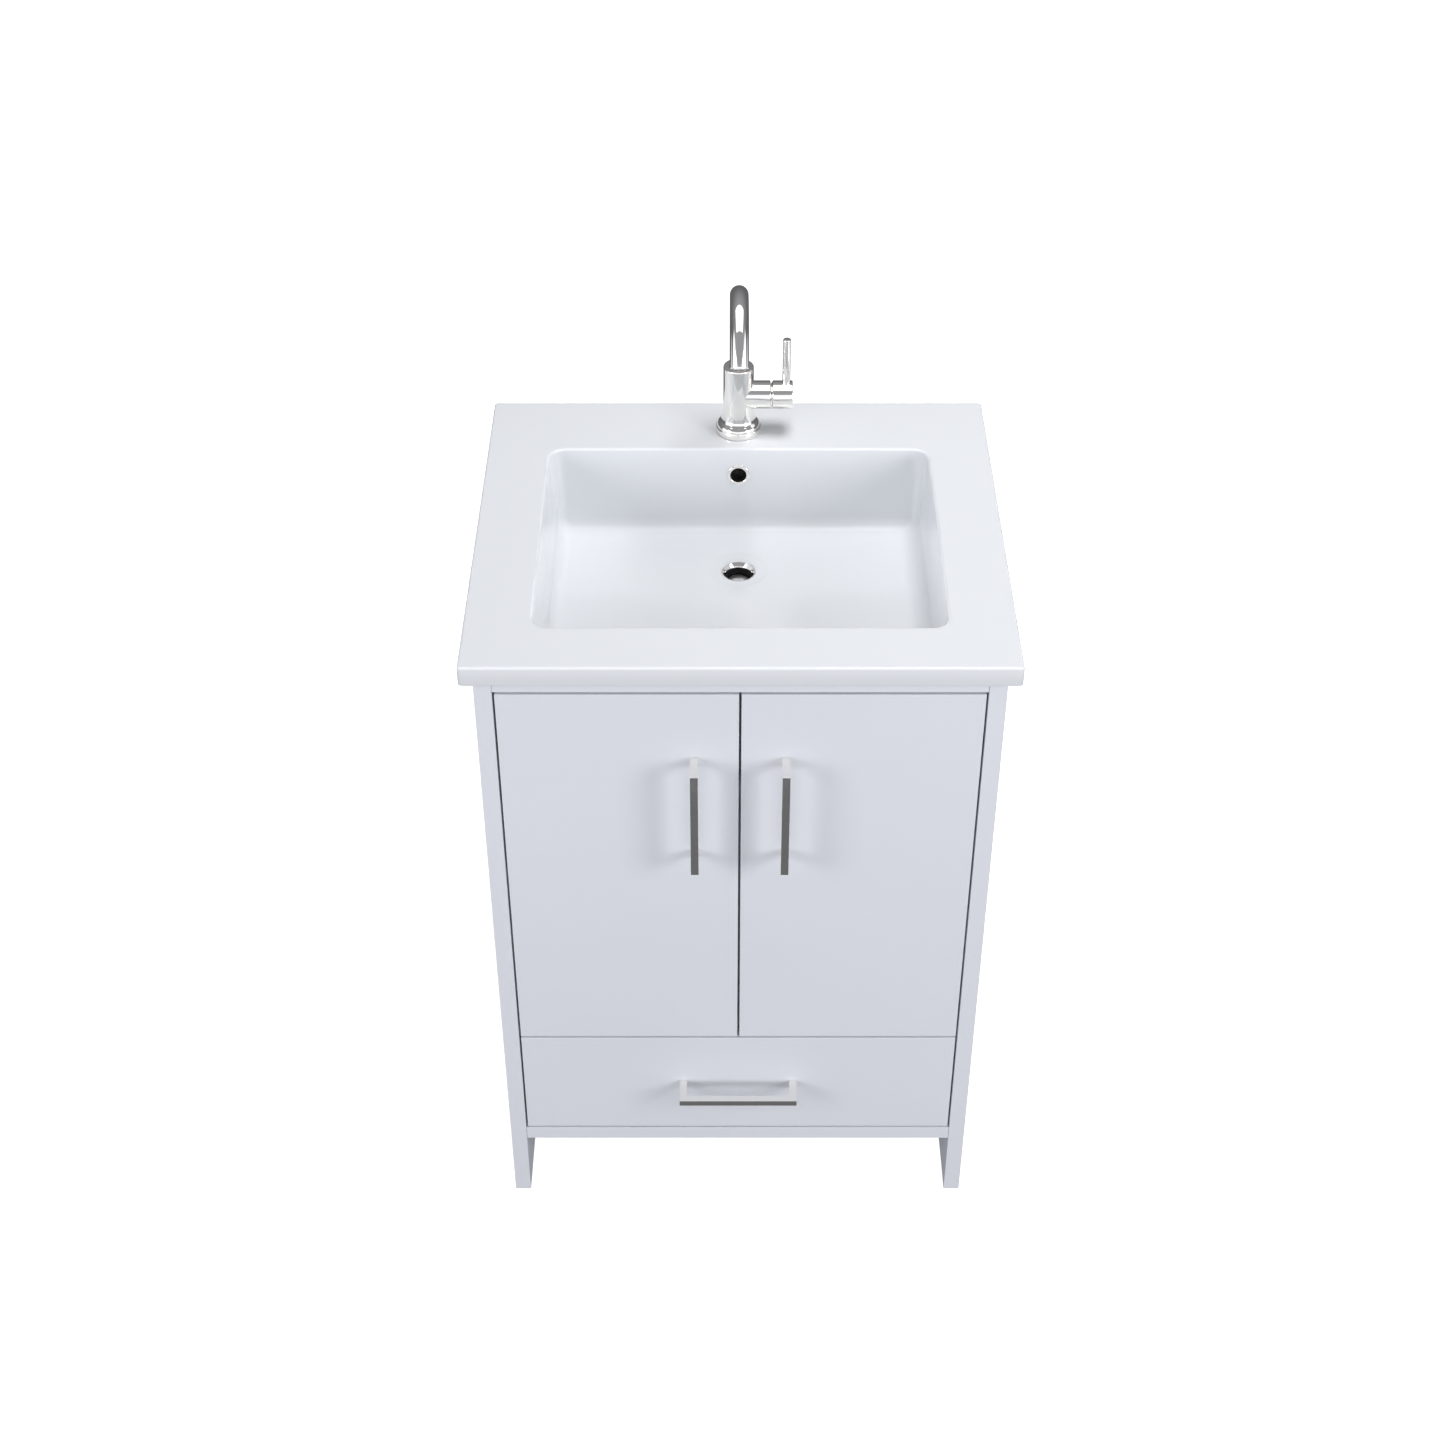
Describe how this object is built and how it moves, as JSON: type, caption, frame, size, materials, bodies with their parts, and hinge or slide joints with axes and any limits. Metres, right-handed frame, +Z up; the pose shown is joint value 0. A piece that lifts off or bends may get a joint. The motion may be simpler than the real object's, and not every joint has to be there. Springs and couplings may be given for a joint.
{
  "type": "bathroom vanity cabinet",
  "caption": "White floor-standing vanity with two inset doors over a drawer, square bar pulls, a one-piece sink top with a rectangular basin, and a gooseneck tap.",
  "frame": {"origin": "on the floor, under the middle of the whole object's box", "axes": "+Z up, -Y out of the front (doors, drawer and pulls), +X to the right as seen from the front"},
  "size_m": [0.61, 0.566, 1.098],
  "materials": {
    "white_paint": "satin painted board, faintly bluish white",
    "drawer_board": "clear-lacquered birch board",
    "sink_white": "gloss white glaze",
    "chrome": "polished",
    "zinc_steel": "zinc-plated",
    "brass": "plain machined",
    "black_rubber": "matte",
    "grey_plastic": "satin"
  },
  "bodies": {
    "cabinet": {"left_side_panel": "white_paint", "right_side_panel": "white_paint", "floor_panel": "white_paint", "divider_panel": "white_paint", "top_front_rail": "white_paint", "top_back_rail": "white_paint", "back_panel": "white_paint", "sink_top": "sink_white", "overflow_ring": "chrome", "drain_body": "chrome", "tap_body": "chrome", "left_upper_hinge_plate": "zinc_steel", "left_upper_hinge_arm": "zinc_steel", "left_lower_hinge_plate": "zinc_steel", "left_lower_hinge_arm": "zinc_steel", "right_upper_hinge_plate": "zinc_steel", "right_upper_hinge_arm": "zinc_steel", "right_lower_hinge_plate": "zinc_steel", "right_lower_hinge_arm": "zinc_steel", "left_runner_rail": "zinc_steel", "right_runner_rail": "zinc_steel", "drain_locknut": "brass", "tap_locknut": "brass", "drain_seal": "black_rubber", "tap_base_seal": "black_rubber", "tap_cartridge": "grey_plastic"},
    "left_door": {"left_door_panel": "white_paint", "left_door_handle": "chrome", "left_upper_hinge_cup": "zinc_steel", "left_upper_hinge_pin": "zinc_steel", "left_lower_hinge_cup": "zinc_steel", "left_lower_hinge_pin": "zinc_steel"},
    "right_door": {"right_door_panel": "white_paint", "right_door_handle": "chrome", "right_upper_hinge_cup": "zinc_steel", "right_upper_hinge_pin": "zinc_steel", "right_lower_hinge_cup": "zinc_steel", "right_lower_hinge_pin": "zinc_steel"},
    "drawer": {"drawer_front": "white_paint", "drawer_handle": "chrome", "drawer_inner_front": "drawer_board", "drawer_left_side": "drawer_board", "drawer_right_side": "drawer_board", "drawer_back": "drawer_board", "drawer_bottom": "drawer_board", "left_runner_slide": "zinc_steel", "right_runner_slide": "zinc_steel"},
    "runner_carriages": {"left_runner_carriage": "zinc_steel", "right_runner_carriage": "zinc_steel"},
    "spout": {"tap_spout": "chrome", "spout_aerator": "grey_plastic"},
    "lever": {"tap_hub": "chrome", "tap_lever": "chrome"},
    "stopper": {"drain_stopper": "chrome"}
  },
  "joints": [
    {"name": "left_door_hinge", "type": "hinge", "parent": "cabinet", "child": "left_door", "pos_m": [-0.253, -0.24, 0.55885], "axis": [0, 0, -1], "range_deg": [0, 110]},
    {"name": "right_door_hinge", "type": "hinge", "parent": "cabinet", "child": "right_door", "pos_m": [0.253, -0.24, 0.55885], "axis": [0, 0, 1], "range_deg": [0, 110]},
    {"name": "drawer_slide", "type": "slide", "parent": "cabinet", "child": "drawer", "axis": [0, -1, 0], "range_m": [0, 0.4]},
    {"name": "carriage_slide", "type": "slide", "parent": "cabinet", "child": "runner_carriages", "axis": [0, -1, 0], "range_m": [0, 0.2]},
    {"name": "spout_swivel", "type": "hinge", "parent": "cabinet", "child": "spout", "pos_m": [0, 0.219, 0.9655], "axis": [0, 0, 1], "range_deg": [-60, 60]},
    {"name": "lever_turn", "type": "hinge", "parent": "cabinet", "child": "lever", "pos_m": [0.0396, 0.219, 0.9255], "axis": [1, 0, 0], "range_deg": [0, 90]},
    {"name": "stopper_lift", "type": "slide", "parent": "cabinet", "child": "stopper", "axis": [0, 0, 1], "range_m": [0, 0.008]}
  ],
  "couplings": [
    {"joint": "carriage_slide", "follows": "drawer_slide", "ratio": 0.5}
  ]
}
